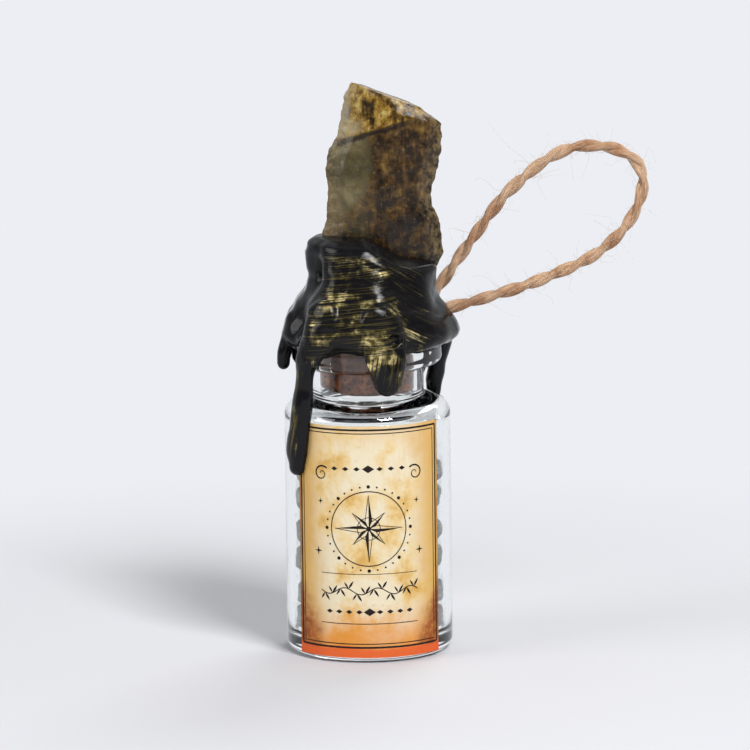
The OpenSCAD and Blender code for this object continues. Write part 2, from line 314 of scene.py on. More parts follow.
class Paint(Nodes):
    """A material's nodes. Patterns read the place in the object unless they are given another source."""

    def __init__(self, name):
        self.material = bpy.data.materials.new(name)
        self.material.use_nodes = True
        super().__init__(self.material.node_tree)
        self.shader = self.tree.nodes["Principled BSDF"]
        self.place = self.node("ShaderNodeTexCoord").outputs["Object"]

    def uv(self):
        """The piece's own UV map."""
        return self.node("ShaderNodeUVMap", uv_map="UVMap").outputs["UV"]

    def attribute(self, name):
        """A number stored at the mesh's points."""
        return self.node("ShaderNodeAttribute", attribute_name=name).outputs["Fac"]

    def millimetres(self):
        """The place in the object as three numbers in millimetres."""
        return [self.math("MULTIPLY", axis, 1000.0) for axis in self.split(self.place)]

    def stretched(self, scale, source=None, turn=0.0):
        """The place stretched, after a turn in degrees about its third axis."""
        inputs = {"Vector": source or self.place, "Angle": math.radians(turn)}
        turned = self.node("ShaderNodeVectorRotate", inputs, rotation_type="Z_AXIS").outputs["Vector"]
        return self.node("ShaderNodeMapping", {"Vector": turned, "Scale": scale}).outputs["Vector"]

    def noise(self, scale, detail=4.0, roughness=0.55, source=None, distortion=0.0):
        """Noise whose scale is in cells to the metre, or 1 for a source that is already stretched."""
        return self.node("ShaderNodeTexNoise", {
            "Vector": source or self.place,
            "Scale": scale,
            "Detail": detail,
            "Roughness": roughness,
            "Distortion": distortion,
        }).outputs["Fac"]

    def cells(self, scale):
        """The distance from scattered cell middles, with scale cells to the metre."""
        return self.node("ShaderNodeTexVoronoi", {"Vector": self.place, "Scale": scale}).outputs["Distance"]

    def ramp(self, value, stops):
        """Colours or greys by value: stops are (place, colour or number)."""
        made = self.node("ShaderNodeValToRGB", {"Fac": value})
        elements = made.color_ramp.elements
        while len(elements) < len(stops):
            elements.new(0.5)
        for element, (place, colour) in zip(elements, stops):
            element.position = place
            element.color = (*colour, 1) if isinstance(colour, tuple) else (colour, colour, colour, 1)
        return made.outputs["Color"]

    def mix(self, factor, first, second, blend="MIX"):
        """Two colours mixed, or blended in another way."""
        first, second = ((*value, 1) if isinstance(value, tuple) else value for value in (first, second))
        inputs = {"Factor": factor, 6: first, 7: second}
        return self.node("ShaderNodeMix", inputs, data_type="RGBA", blend_type=blend).outputs[2]

    def coats(self, colour, *coats):
        """The colour under its coats in their order, each a mask, a strength and a colour."""
        for mask, strength, tone in coats:
            colour = self.mix(self.both(mask, strength), colour, tone)
        return colour

    def bump(self, height, strength, depth):
        """A surface raised by height, whose full depth is in millimetres."""
        inputs = {"Height": height, "Strength": strength, "Distance": depth * MM}
        return self.node("ShaderNodeBump", inputs).outputs["Normal"]

    def finish(self, **sockets):
        """Sets the shader's sockets, named with underscores for spaces."""
        for name, value in sockets.items():
            if isinstance(value, tuple):
                value = (*value, 1)
            self.feed(self.shader.inputs[name.replace("_", " ")], value)
        return self.material


def dress(piece, material, slot, *nodes):
    """Gives a piece its material, puts it on the body, and lets it stand for its CAD nodes. slot is not used."""
    piece.data.materials.clear()
    piece.data.materials.append(material)
    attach(piece, "root")
    if nodes:
        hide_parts(*nodes)
    return piece


# Glass vial

BODY_R = 11.0
WALL = 0.9
FLOOR = 2.0
HEEL_R = 1.4
PUNT_H = 0.7
SHOULDER_R = 1.8
NECK_R = 7.5
LIP_R = 10.0
LIP_T = 3.3
MOUTH_R = 6.25
NECK_DROP = 8.2
NECK_FILLET = 0.7
LIP_EDGE = 1.1
MOUTH_EDGE = 0.5
SHOULDER_RISE = 0.7
POLE_R = 0.01
GLASS_SIDES = 200
VIAL_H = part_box("glass_vial")[1][2] / MM
SHOULDER_Z = VIAL_H - NECK_DROP
LIP_Z = VIAL_H - LIP_T


def arc(x, y, r, start, end, steps=10):
    """Points along a circle about (x, y) between two angles in degrees."""
    a = np.radians(np.linspace(start, end, steps + 1))
    return np.stack([x + r * np.cos(a), y + r * np.sin(a)], axis=1)


def glass_outline(grow=0.0):
    """The glass's outer half section from the base to the mouth."""
    return np.concatenate([
        arc(BODY_R - HEEL_R, HEEL_R, HEEL_R + grow, -90, 0),
        arc(BODY_R - SHOULDER_R, SHOULDER_Z - SHOULDER_R, SHOULDER_R + grow, 0, 80),
        arc(NECK_R + NECK_FILLET, SHOULDER_Z + SHOULDER_RISE + NECK_FILLET, NECK_FILLET - grow, 260, 180),
        arc(NECK_R + NECK_FILLET, LIP_Z - NECK_FILLET, NECK_FILLET - grow, 180, 90),
        arc(LIP_R - LIP_EDGE, LIP_Z + LIP_EDGE, LIP_EDGE + grow, -90, 0),
        arc(LIP_R - LIP_EDGE, VIAL_H - LIP_EDGE, LIP_EDGE + grow, 0, 90),
    ])


def glass_section():
    """The whole closed half section: pushed-up base, outside, mouth, inside and floor."""
    inner_r = BODY_R - WALL
    return np.concatenate([
        [[POLE_R, PUNT_H], [BODY_R * 0.34, PUNT_H * 0.8], [BODY_R * 0.68, 0]],
        glass_outline(),
        arc(MOUTH_R + MOUTH_EDGE, VIAL_H - MOUTH_EDGE, MOUTH_EDGE, 90, 180),
        arc(MOUTH_R + MOUTH_EDGE, SHOULDER_Z - WALL + MOUTH_EDGE, MOUTH_EDGE, 180, 270),
        arc(inner_r - SHOULDER_R, SHOULDER_Z - WALL - SHOULDER_R, SHOULDER_R, 90, 0),
        arc(inner_r - HEEL_R, FLOOR + HEEL_R, HEEL_R, 0, -90),
        [[POLE_R, FLOOR]],
    ])


def divided(section, spacing):
    """The section with extra points on its long straight stretches."""
    out = []
    for a, b in zip(section[:-1], section[1:]):
        steps = max(1, int(np.hypot(*(b - a)) / spacing))
        out.append(a + (b - a) * np.linspace(0, 1, steps, endpoint=False)[:, None])
    return np.concatenate(out + [section[-1:]])


def revolve(section, count):
    """A surface of revolution: each section point (r, z) goes round the axis at count angles."""
    angle = np.linspace(0, 2 * np.pi, count, endpoint=False)
    r = section[:, 0][:, None]
    z = np.broadcast_to(section[:, 1][:, None], (len(section), count))
    return np.stack([r * np.cos(angle), r * np.sin(angle), z], axis=-1)


def make_glass():
    """The blown glass: its section turned round the axis, with walls a few hundredths of a millimetre uneven."""
    section = divided(glass_section(), 1.5)
    points = revolve(section, GLASS_SIDES)
    wobble = 0.02 * noise(points, 9.0, 3)
    points = points + unit(points * [1, 1, 0]) * wobble[..., None]
    glass = mesh_object("blown_glass", points, closed_faces(len(section), GLASS_SIDES))
    paint = Paint("clear glass")
    dress(glass, paint.finish(
        Base_Color=(0.97, 0.985, 0.98),
        Roughness=0.015,
        IOR=1.5,
        Transmission_Weight=1.0,
        Normal=paint.bump(paint.noise(90, 2), 0.05, 0.3),
    ), "glass", "glass_vial")


make_glass()

# Wax seal: the same rows, lobes and drips as the solid's

WAX_H = 13.9
WAX_SLUMP = 2.9
WAX_FIT = 0.03
WAX_VOXEL = 0.17
PAPER_TOP = 31.9
PAPER_TURN = 54.6
PAPER_CLEAR = 0.16
WAX_ROWS = [
    (-0.03, -0.5, 1.0, -0.3, 0.2), (0.02, 0.2, 1.9, 0.4, 1.0), (0.07, 0.7, 2.1, 0.8, 1.3),
    (0.14, 0.8, 1.7, 0.9, 1.0), (0.25, 0.3, 0.6, 0.4, 0.3), (0.37, -0.7, -0.6, -0.4, -0.7),
    (0.48, -1.7, -0.8, -1.2, -1.9), (0.60, -2.4, -0.7, -1.8, -2.4), (0.72, -2.7, -0.6, -2.2, -2.2),
    (0.84, -3.0, -0.4, -2.8, -2.0), (0.93, -3.8, -0.8, -3.8, -2.5), (0.98, -5.4, -2.4, -5.4, -3.6),
    (1.00, -7.5, -5.0, -7.5, -6.0),
]
WAX_LOBES = [
    (-34, 4.5, 17, 5.0, 1.0), (12, 5.5, 16, 4.5, 0.8), (52, 6.5, 15, 4.0, 0.7), (96, 3.0, 18, 3.5, 0.5),
    (150, 4.5, 20, 5.0, 0.8), (-125, 5.0, 18, 4.5, 0.8), (-64, 2.6, 10, 2.2, -1.7),
    (-66, 9.5, 12, 3.0, -0.7), (32, 1.5, 8, 2.0, -0.7),
]
DRIPS = {
    "side": [(-84, -1.5, 2.6, 1.5, 1.3), (-84, -0.65, 0.4, 1.2, 1.1), (-83.5, -0.2, -0.9, 1.0, 1.0),
             (-83, 0.05, -2.0, 0.9, 0.9), (-83, 0.1, -3.1, 0.95, 0.9)],
    "long": [(-35, -1.4, 4.0, 2.5, 1.6), (-39, -0.5, 1.4, 2.3, 1.5), (-44.5, 0.0, -1.4, 1.8, 1.3),
             (-47, 0.1, -3.8, 1.4, 1.2), (-49, 0.3, -7.2, 1.6, 1.2), (-50.5, 0.6, -10.7, 1.65, 1.2),
             (-53, 0.7, -13.7, 1.85, 1.3), (-54, 0.5, -15.8, 1.3, 1.1)],
    "tongue": [(11, -1.2, 3.4, 2.8, 1.3), (13, -0.6, 0.4, 2.9, 1.1), (14, -0.2, -2.1, 2.5, 1.0),
               (14.5, -0.2, -4.1, 1.9, 1.0)],
    "right": [(98, -1.2, 2.4, 2.0, 1.4), (102, -0.6, -0.6, 1.4, 1.2), (106, -1.1, -3.6, 1.3, 1.2),
              (108, -1.5, -6.0, 1.4, 1.2), (110, -1.6, -7.3, 1.8, 0.9)],
    "back_right": [(135, -1.2, 2.4, 2.2, 1.3), (135, -0.3, -0.6, 1.5, 1.1), (136, -0.7, -3.8, 1.3, 1.1),
                   (137, -2.0, -6.4, 1.5, 1.1)],
    "back": [(185, -1.2, 2.4, 2.4, 1.3), (186, -0.3, -0.6, 1.7, 1.1), (187, -0.1, -3.2, 1.2, 1.0),
             (187, -0.1, -4.8, 1.3, 1.0)],
    "back_left": [(-130, -1.0, 2.4, 2.2, 1.3), (-131, -0.2, -0.4, 1.4, 1.1), (-132, -0.1, -2.2, 1.2, 1.0)],
}
BUBBLE = (20, 0.0, 1.5, 1.0, 0.9)
DENT = (-58, 9.4, 6.0, 1.7, 1.1)


def cap_reach(share, azimuth):
    """The cap's radius: four side profiles blended by squared sine and cosine, plus bell-shaped lobes."""
    table = np.array(WAX_ROWS)
    front, right, back, left = (np.interp(share, table[:, 0], table[:, k]) for k in (1, 2, 3, 4))
    c = np.cos(azimuth)
    s = np.sin(azimuth)
    reach = np.where(c > 0, front, back) * c**2 + np.where(s > 0, right, left) * s**2
    height = share * WAX_H
    for at, level, wide, tall, amount in WAX_LOBES:
        turn = (np.degrees(azimuth) - at + 540) % 360 - 180
        reach = reach + amount * np.exp(-((turn / wide) ** 2) - ((height - level) / tall) ** 2)
    return np.maximum(0.5, LIP_R + reach)


def wax_cap():
    """The poured cap: radius by height and azimuth, with its top lowered towards the right."""
    share = np.concatenate([np.linspace(-0.03, 0.95, 90), np.linspace(0.955, 1.0, 16)])
    azimuth = np.linspace(0, 2 * np.pi, 240, endpoint=False)
    share, azimuth = np.meshgrid(share, azimuth, indexing="ij")
    r = cap_reach(share, azimuth)
    x = r * np.sin(azimuth)
    y = -r * np.cos(azimuth)
    slump = WAX_SLUMP * np.clip((share - 0.45) / 0.5, 0, 1) * smooth_step(x, -1, 6)
    points = np.stack([x, y, VIAL_H + share * WAX_H - slump], axis=-1)
    return points.reshape(-1, 3), closed_faces(*share.shape)


def padded(rows):
    """The rows with their first and last repeated eight times more."""
    return np.concatenate([np.repeat(rows[:1], 8, axis=0), rows, np.repeat(rows[-1:], 8, axis=0)])


def drip_run(table, sides=20, count=60):
    """A run of wax: an ellipse carried along a smooth line, closed by round ends."""
    t = curve_through(table, count)
    azimuth = np.radians(t[:, 0])
    out = np.stack([np.sin(azimuth), -np.cos(azimuth), 0 * azimuth], axis=1)
    across = np.stack([np.cos(azimuth), np.sin(azimuth), 0 * azimuth], axis=1)
    up = np.array([0.0, 0.0, 1.0])
    middle = out * (BODY_R + t[:, 1:2]) + up * (VIAL_H + t[:, 2:3])
    turn = np.linspace(0, np.pi / 2, 9)[1:, None]
    top = middle[0] + up * t[0, 3] * np.sin(turn)[::-1]
    bottom = middle[-1] - up * t[-1, 3] * np.sin(turn)
    middle = np.concatenate([top, middle, bottom])
    closing = np.maximum(np.cos(turn), 0.02)
    close = np.concatenate([closing[::-1], np.ones((count, 1)), closing])
    wide = padded(t[:, 3:4]) * close
    deep = padded(t[:, 4:5]) * close
    angle = np.linspace(0, 2 * np.pi, sides, endpoint=False)
    ring = (
        np.cos(angle)[None, :, None] * (padded(across) * wide)[:, None]
        + np.sin(angle)[None, :, None] * (padded(out) * deep)[:, None]
    )
    points = middle[:, None] + ring
    return points.reshape(-1, 3), closed_faces(len(middle), sides)


def off_the_glass(points):
    """Moves what lies inside the glass's outline straight out from the axis to its surface."""
    outline = glass_outline(WAX_FIT)
    r = reach_of(points)
    z = points[:, 2]
    edge = np.interp(z, outline[:, 1], outline[:, 0])
    paper = (z < PAPER_TOP) & (np.abs(np.degrees(turn_of(points))) < PAPER_TURN)
    edge = edge + np.where(paper, PAPER_CLEAR, 0.0)
    inside = (r < edge) & (r > MOUTH_R + 0.6) & (z < VIAL_H)
    return squeezed(points, np.where(inside, edge / np.maximum(r, 1e-6), 1))


def bubble(points):
    """1 at the middle of the burst bubble above the tongue, falling to 0 at its rim."""
    azimuth, out, height, wide, tall = BUBBLE
    a = math.radians(azimuth)
    middle = np.array([(BODY_R + out) * math.sin(a), -(BODY_R + out) * math.cos(a), VIAL_H + height])
    far = (points - middle) / [wide, 2.0, tall]
    return 1 - smooth_step(np.linalg.norm(far, axis=1), 0.55, 1.05)


def make_wax():
    """Cap and drips fused into one skin, with slow waves, an uneven lower edge, a dent and a burst bubble, and
    pressed clear of the glass."""
    wax = mesh_object("poured_wax", *join_faces([wax_cap()] + [drip_run(table) for table in DRIPS.values()]))
    remesh(wax, WAX_VOXEL)
    relax(wax, 0.5, 10)
    points = mesh_points(wax)
    normals = mesh_normals(wax)
    height = points[:, 2] - VIAL_H
    waves = 0.16 * noise(points, 3.4, 11) + 0.07 * noise(points, 1.3, 12)
    folds = 0.10 * noise(points * [0.35, 0.35, 1.0], 0.9, 13) * smooth_step(height, -0.5, 1.5)
    points = points + normals * (waves + folds)[:, None]
    around = turn_of(points)
    ring = np.stack([11 * np.sin(around), 11 * np.cos(around), 0 * around], axis=1)
    lower = (1 - smooth_step(height, 0.3, 3.0)) * smooth_step(height, -3.5, -0.8)
    points[:, 2] -= lower * (0.35 + 0.75 * noise(ring, 3.1, 15))
    at, level, wide, tall, deep = DENT
    dent = deep * np.exp(-(((np.degrees(around) - at) / wide) ** 2) - ((height - level) / tall) ** 2)
    points = points - unit(points * [1, 1, 0]) * dent[:, None]
    points = off_the_glass(points)
    points = points - normals * (0.9 * bubble(points))[:, None]
    set_points(wax, points)
    brush_gold(wax, points, normals, height)
    dress(wax, wax_material(), "wax", "wax_seal")


def brush_gold(wax, points, normals, height):
    """Where the brush went: over what faces forwards and up on the cap's front and the tongue, and down the long
    run. Its strokes are level, slanting where slant is 1, and upright where run is 1."""
    azimuth = np.degrees(turn_of(points))
    set_uv(wax, np.stack([np.radians(azimuth) * 10 * MM, points[:, 2] * MM], axis=1))
    cap = smooth_step(height, -0.5, 1.5)
    facing = smooth_step(-normals[:, 1] + 0.25 * normals[:, 2], 0.1, 0.75)
    front = smooth_step(-np.abs(azimuth - 4), -66, -34)
    band = smooth_step(height, -9, -2.5) * (1 - smooth_step(height, 11.0, 13.0))
    streak = smooth_step(-np.abs(azimuth + 51), -5, -1.5) * smooth_step(-height, 1, 4)
    streak = streak * smooth_step(height, -15, -12.5)
    streak = 1.9 * streak * (1.0 + 0.6 * noise(points * [1, 1, 0.4], 1.2, 16))
    slant = smooth_step(azimuth, 14, 38) * cap
    set_values(wax, "gold", facing * np.maximum(front * band * (1 - 0.35 * slant), streak))
    set_values(wax, "run", smooth_step(-height, -0.5, 1.5) * smooth_step(reach_of(points), 9, 10.5))
    set_values(wax, "slant", slant)


def wax_material():
    """Glossy black wax, with gold dragged over its high places: level strokes on the cap, sloping ones at its
    right and upright ones on the runs, thick in patches and thin between, with painted glints of bright gold in
    the patches."""
    paint = Paint("black wax with gold")
    uv = paint.uv()
    level = paint.noise(1, 4, 0.7, paint.stretched((120, 4300, 1), uv, -5), 1.0)
    slant = paint.noise(1, 4, 0.7, paint.stretched((140, 4100, 1), uv, 30), 1.0)
    upright = paint.noise(1, 4, 0.7, paint.stretched((3200, 170, 1), uv, 8), 1.0)
    strokes = paint.mix(paint.attribute("slant"), level, slant)
    strokes = paint.mix(paint.attribute("run"), strokes, upright)
    blotch = paint.noise(330, 3, 0.6)
    patches = paint.step(blotch, 0.46, 0.66)
    gold = paint.attribute("gold")
    raised = paint.sum(strokes, paint.both(gold, paint.line(patches, 0.13, 0.085)))
    mask = paint.both(paint.step(raised, 0.60, 0.83), paint.step(gold, 0.05, 0.3))
    # Bright, less metallic gold specks in the thick patches: thicker gold, and painted glints that stay bright
    # under any light
    worn = paint.both(paint.step(blotch, 0.54, 0.68), paint.step(paint.noise(900, 3), 0.36, 0.62))
    tone = paint.mix(worn, (0.15, 0.12, 0.036), (0.95, 0.78, 0.36))
    return paint.finish(
        Base_Color=paint.mix(mask, (0.006, 0.006, 0.007), tone),
        Metallic=paint.both(mask, paint.line(worn, -0.45, 0.9)),
        Roughness=paint.ramp(mask, [(0.0, 0.10), (1.0, 0.34)]),
        Specular_IOR_Level=0.19,
        Normal=paint.bump(raised, 0.3, 0.10),
    )


make_wax()

# Crystal slab

SLAB_H = 26.0
SLAB_T = 5.2
SLAB_Z = VIAL_H + WAX_H - 5.8
SLAB_ROWS = [
    (0.00, -4.6, 9.0, 0.00, 0.70), (0.12, -5.4, 10.3, 0.00, 0.85), (0.22, -5.8, 10.1, 0.00, 0.95),
    (0.30, -5.2, 9.8, -0.01, 1.00), (0.37, -5.0, 9.1, -0.02, 0.97), (0.46, -5.0, 9.0, -0.05, 1.00),
    (0.56, -5.2, 9.4, -0.08, 0.94), (0.65, -4.7, 9.8, -0.12, 0.90), (0.74, -3.6, 10.3, -0.17, 0.84),
    (0.83, -3.1, 10.4, -0.22, 0.76), (0.93, -2.8, 10.3, -0.30, 0.66), (1.00, -1.8, 9.3, -0.38, 0.45),
]
SLAB_RING = [(0.00, -0.15), (0.16, -0.80), (0.55, -1.00), (0.86, -0.70),
             (1.00, 0.10), (0.82, 0.85), (0.45, 1.00), (0.12, 0.65)]


def make_crystal():
    """The slab: its levels' edges by height, the ring's eight corners joined by flats, then broken by noise."""
    levels, around = 230, 256
    table = np.array(SLAB_ROWS)
    share = np.linspace(0, 1, levels)
    left, right, slope, thick = (np.interp(share, table[:, 0], table[:, k])[:, None] for k in (1, 2, 3, 4))
    corner = smooth_step(share, 0.93, 1.0)[:, None] ** 2
    left = left + 0.25 * corner
    right = right - 1.7 * corner
    ring = np.array(SLAB_RING + SLAB_RING[:1])
    corner = np.linspace(0, len(SLAB_RING), around, endpoint=False)
    along = np.interp(corner, np.arange(len(ring)), ring[:, 0])[None]
    deep = np.interp(corner, np.arange(len(ring)), ring[:, 1])[None]
    x = left + (right - left) * along
    y = 0.1 + deep * thick * SLAB_T / 2
    z = SLAB_Z + SLAB_H * share[:, None] + slope * (x - left)
    points = np.stack([x, y, z], axis=-1)
    middle = np.stack([(left + right) / 2 + 0 * x, 0 * x + 0.1, z], axis=-1)
    outward = unit(points - middle)
    edge = smooth_step(np.abs(along - 0.5), 0.32, 0.48)
    rim = np.maximum(edge, smooth_step(share, 0.975, 1.0)[:, None])
    flakes = np.floor(3 * rough(points, 2.2, 2, 21)) / 3
    broken = 0.08 * rough(points, 1.6, 4, 22) + rim * (0.14 * rough(points, 0.9, 3, 23) + 0.10 * flakes)
    face = (1 - edge) * 0.20 * rough(points * [1, 1, 0.7], 4.0, 3, 24)
    points = points + outward * (broken + face - 0.08)[..., None]
    crystal = mesh_object("raw_crystal", points, closed_faces(levels, around))
    set_values(crystal, "rim", rim * np.ones_like(x))
    dress(crystal, crystal_material(), "crystal", "crystal_slab")


def crystal_material():
    """Smoky quartz: dark brown with upright streaks, a grey-green window at the left, amber above a dark seam,
    a painted highlight for a lit facet at the top left corner, and thin edges lightened by painted light shining
    through them."""
    paint = Paint("smoky crystal")
    x, _, z = paint.millimetres()
    blotch = paint.noise(260, 6, 0.66, distortion=0.5)
    fine = paint.noise(950, 6, 0.68)
    streaks = paint.noise(1, 5, 0.65, paint.stretched((1300, 1300, 190)), 0.4)
    mixed = paint.line(streaks, 0.22, paint.line(blotch, 0.48, paint.both(fine, 0.30)))
    body = paint.ramp(mixed, [(0.42, (0.004, 0.002, 0.001)), (0.50, (0.022, 0.011, 0.003)),
                              (0.56, (0.070, 0.036, 0.008)), (0.67, (0.22, 0.13, 0.034))])
    grey = paint.ramp(blotch, [(0.34, (0.034, 0.026, 0.009)), (0.52, (0.090, 0.073, 0.030)),
                               (0.70, (0.185, 0.155, 0.078))])
    leftwards = paint.step(paint.sum(x, paint.line(blotch, 6.0, -3.0)), 1.8, -0.2)
    upper = paint.step(paint.math("SUBTRACT", z, paint.line(x, 1.02, 61.6)), -1.2, 0.8)
    window = paint.both(leftwards, paint.line(upper, 0.65, 0.30))
    left_foot = paint.both(paint.step(x, -2.4, -4.4), paint.step(z, 66, 60))
    over = paint.math("SUBTRACT", z, paint.line(x, 0.29, paint.line(fine, 1.2, 68.3)))
    amber = paint.ramp(paint.line(fine, 0.6, paint.both(streaks, 0.4)), [
        (0.40, (0.010, 0.005, 0.002)), (0.47, (0.090, 0.046, 0.006)), (0.53, (0.25, 0.14, 0.016)),
        (0.63, (0.50, 0.39, 0.14))])
    # Painted highlight: a pale patch at the top left corner, standing for light on a tilted facet
    painted_lit_facet = paint.both(paint.step(x, -1.6, -2.2), paint.step(over, 0.5, 1.5))
    above_seam = paint.both(paint.step(over, 0.3, 1.0), paint.step(over, 2.8, 1.6))
    pale = paint.both(paint.both(paint.step(x, 9.0, 6.5), above_seam), paint.step(x, 0.8, -1.6))
    seam = paint.both(paint.step(paint.math("ABSOLUTE", over), 0.55, 0.15), paint.step(x, 10.0, 3.5))
    # Painted light: paler patches along the thin edges, standing for light shining through them
    painted_edge_light = paint.both(paint.attribute("rim"), paint.step(fine, 0.38, 0.62))
    dust = paint.step(paint.noise(1900, 4, 0.75), 0.60, 0.72)
    colour = paint.coats(
        paint.mix(window, body, grey),
        (left_foot, 0.4, (0.15, 0.09, 0.028)),
        (paint.step(over, -0.4, 0.6), 0.9, amber),
        (painted_lit_facet, 0.75, (0.30, 0.27, 0.19)),
        (pale, 0.7, (0.34, 0.27, 0.14)),
        (seam, 0.85, (0.008, 0.005, 0.006)),
        (painted_edge_light, 0.45, (0.27, 0.20, 0.095)),
        (dust, 0.35, (0.33, 0.27, 0.16)),
    )
    return paint.finish(
        Base_Color=colour,
        Roughness=0.22,
        IOR=1.54,
        Specular_IOR_Level=0.3,
        Transmission_Weight=0.06,
        Normal=paint.bump(paint.line(paint.cells(420), 0.5, fine), 0.5, 0.25),
    )


make_crystal()

# Twine loop: the same route as the solid's

PLY_OFFSET = 0.34
PLY_R = 0.51
PLY_PITCH = 7.6
PLY_SIDES = 14
TWINE_POINTS = 620
FIBRES = 330
LOOSE_EDGE = 38.6
TWINE_ROUTE = [
    (8, 0.6, 44.8), (10.5, 0.8, 45.3), (13.5, 0.9, 46), (16.5, 0.8, 46.9), (19.5, 0.7, 47.8),
    (22.5, 0.7, 48.8), (25.5, 0.7, 50), (28.5, 0.8, 51.3), (31.2, 0.9, 52.9), (33.6, 1.1, 55),
    (35.4, 1.3, 57.4), (36.5, 1.5, 60), (36.7, 1.8, 62.6), (35.5, 2, 64.9), (33, 2.2, 66.2),
    (30, 2.4, 66.6), (27, 2.6, 66.2), (24, 2.8, 64.7), (21.2, 3, 62.5), (18.6, 3.1, 60.1),
    (16.4, 3.2, 57.3), (14.3, 3.3, 54.4), (12.2, 3.4, 51.4), (10.1, 3.5, 48.4), (7.8, 3.6, 45.2),
]


def frames_along(line):
    """For each point of a line its heading, and two directions square to it that turn as little as they can."""
    heading = unit(np.gradient(line, axis=0))
    side = unit(np.cross(heading, [0, 1, 0]))
    return heading, side, np.cross(side, heading)


def tube(line, radius, sides):
    """A round section carried along a line, with closed ends; radius may change along it."""
    heading, side, up = frames_along(line)
    angle = np.linspace(0, 2 * np.pi, sides, endpoint=False)
    ring = np.cos(angle)[None, :, None] * side[:, None] + np.sin(angle)[None, :, None] * up[:, None]
    points = line[:, None] + ring * np.asarray(radius).reshape(-1, 1, 1)
    return points.reshape(-1, 3), closed_faces(len(line), sides, flip=True)


def make_twine():
    """Two plies, each a tube wound round the route in a helix, with loose fibres standing out of them."""
    line = curve_through(TWINE_ROUTE, TWINE_POINTS)
    length = np.linalg.norm(np.diff(line, axis=0), axis=1).sum()
    along = np.linspace(0, length, TWINE_POINTS)
    none = 0 * along
    heading, side, up = frames_along(line)
    parts = []
    lay = []
    for ply in range(2):
        turn = 2 * np.pi * along / PLY_PITCH + ply * np.pi
        strand = line + (np.cos(turn)[:, None] * side + np.sin(turn)[:, None] * up) * PLY_OFFSET
        fat = PLY_R * (1 + 0.07 * noise(np.stack([along, none, none + ply * 9], axis=1), 2.5, 31))
        points, faces = tube(strand, fat, PLY_SIDES)
        far = np.repeat(along, PLY_SIDES)
        share = np.tile(np.arange(PLY_SIDES), TWINE_POINTS) / PLY_SIDES
        ragged = noise(np.stack([far * 0.8, share * 14, far * 0 + ply], axis=1), 1.0, 32)
        points = points + unit(points - np.repeat(strand, PLY_SIDES, axis=0)) * 0.035 * ragged[:, None]
        lay.append(np.stack([far, share], axis=1))
        parts.append((points, faces))
    twine = mesh_object("jute_twine", *join_faces(parts))
    set_uv(twine, np.concatenate(lay) * [MM, 1])
    dress(twine, twine_material(), "twine", "twine_loop")
    fibres = make_fibres(line, heading, side, up, length)


def make_fibres(line, heading, side, up, length):
    """Loose fibres: thin three-sided tapers that leave the twine, bend and end in the air."""
    rng = np.random.default_rng(7)
    parts = []
    for _ in range(FIBRES):
        at = rng.integers(25, len(line) - 25)
        turn = rng.uniform(0, 2 * np.pi)
        out = np.cos(turn) * side[at] + np.sin(turn) * up[at]
        lean = heading[at] * rng.uniform(-1.6, 1.6) + rng.normal(0, 0.3, 3)
        reach = rng.uniform(0.4, 1.4) ** 3 * 0.8
        t = np.linspace(0, 1, 10)[:, None]
        bend = rng.normal(0, 0.9, 3) * reach
        curl = rng.normal(0, 0.35, 3) * reach * np.sin(2.2 * np.pi * t)
        strand = line[at] + out * 0.7 + (out * 0.8 + lean) * reach * t + bend * t * t + curl * t
        strand[:, 0] = np.minimum(strand[:, 0], LOOSE_EDGE)
        parts.append(tube(strand, 0.024 * (1 - 0.7 * t), 3))
    fibres = mesh_object("twine_fibres", *join_faces(parts))
    paint = Paint("jute fibre")
    tone = paint.ramp(paint.noise(300, 2), [(0.3, (0.46, 0.32, 0.21)), (0.7, (0.76, 0.62, 0.48))])
    return dress(fibres, paint.finish(Base_Color=tone, Roughness=0.8), "twine")


def twine_material():
    """Jute: fine fibres that run along each ply, some pale and some dark, dull with a little sheen."""
    paint = Paint("jute twine")
    uv = paint.uv()
    fibre = paint.noise(1, 5, 0.7, paint.stretched((700, 26, 1), uv), 0.5)
    tone = paint.ramp(fibre, [(0.28, (0.18, 0.09, 0.042)), (0.48, (0.48, 0.29, 0.165)),
                              (0.70, (0.76, 0.56, 0.39))])
    patch = paint.ramp(paint.noise(270, 3), [(0.36, (0.62, 0.46, 0.34)), (0.58, (1.0, 1.0, 1.0))])
    return paint.finish(
        Base_Color=paint.mix(1.0, tone, patch, "MULTIPLY"),
        Roughness=0.85,
        Sheen_Weight=0.25,
        Normal=paint.bump(fibre, 0.8, 0.12),
    )


make_twine()

# Paper label

LABEL_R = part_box("paper_label")[0][1] / -MM
LABEL_IN_R = BODY_R + 0.02
LABEL_W = 20.9
LABEL_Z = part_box("paper_label")[0][2] / MM
LABEL_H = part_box("paper_label")[1][2] / MM - LABEL_Z
INK_T = 0.012


def on_label(across, height, lift=0.0):
    """Places on the label's face: across is the distance round the glass from its middle, height from its foot."""
    azimuth = np.asarray(across) / BODY_R
    r = LABEL_R + lift
    return np.stack([r * np.sin(azimuth), -r * np.cos(azimuth), LABEL_Z + np.asarray(height)], axis=-1)


